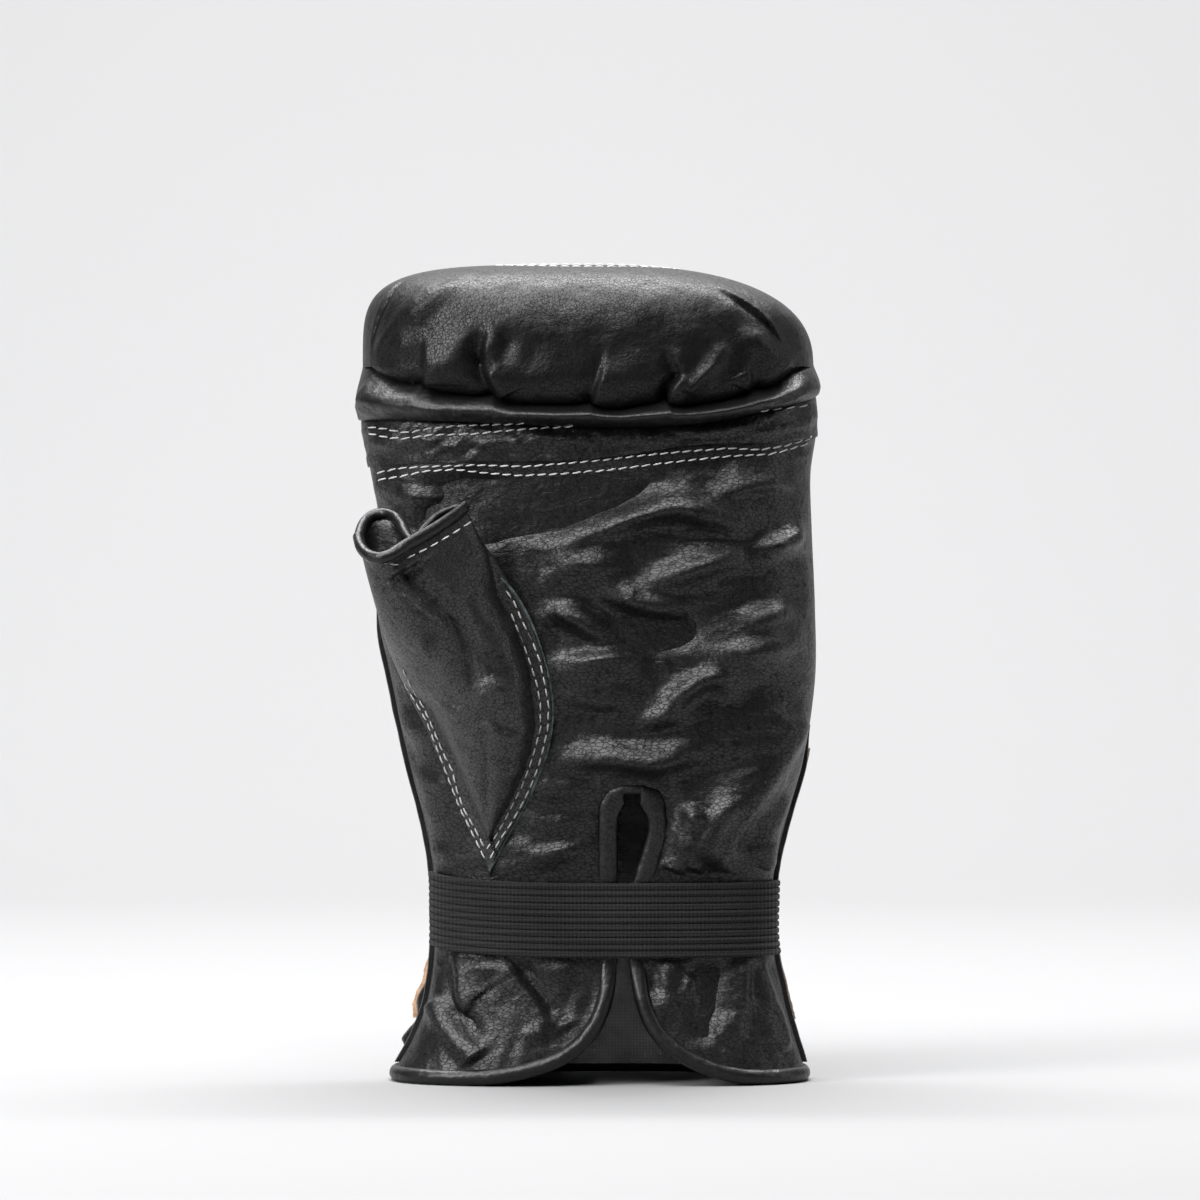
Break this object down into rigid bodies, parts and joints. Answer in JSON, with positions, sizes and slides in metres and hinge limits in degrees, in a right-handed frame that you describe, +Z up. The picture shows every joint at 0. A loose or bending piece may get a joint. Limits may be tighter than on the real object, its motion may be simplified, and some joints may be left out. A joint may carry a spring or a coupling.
{
  "type": "bag glove",
  "caption": "Padded leather bag glove for the left hand, standing on its cuff, with a gathered finger roll, open thumb sleeve, palm vent and wrist elastic.",
  "frame": {"origin": "middle of the bounding box on the floor that the hem stands on", "axes": "+Z up towards the finger end, the palm faces -Y, the thumb is at -X"},
  "size_m": [0.1446, 0.111, 0.2542],
  "materials": {
    "leather": "semi-gloss grained black",
    "palm_leather": "soft creased black",
    "roll_leather": "semi-gloss padded black",
    "piping": "smooth rolled black",
    "patch_leather": "grained black with raw tan edges",
    "elastic": "ribbed woven elastic",
    "lining": "fine matt knit"
  },
  "bodies": {
    "root": {"palm_panel": "palm_leather", "finger_band": "leather", "finger_collar": "leather", "finger_roll": "roll_leather", "back_pad": "roll_leather", "back_cuff": "leather", "wrist_patch": "patch_leather", "cuff_lining": "lining", "hem_piping": "piping", "vent_binding": "piping", "elastic_band": "elastic", "left_welt": "leather", "right_welt": "leather", "thumb_sleeve": "leather", "thumb_binding": "piping"}
  },
  "joints": []
}
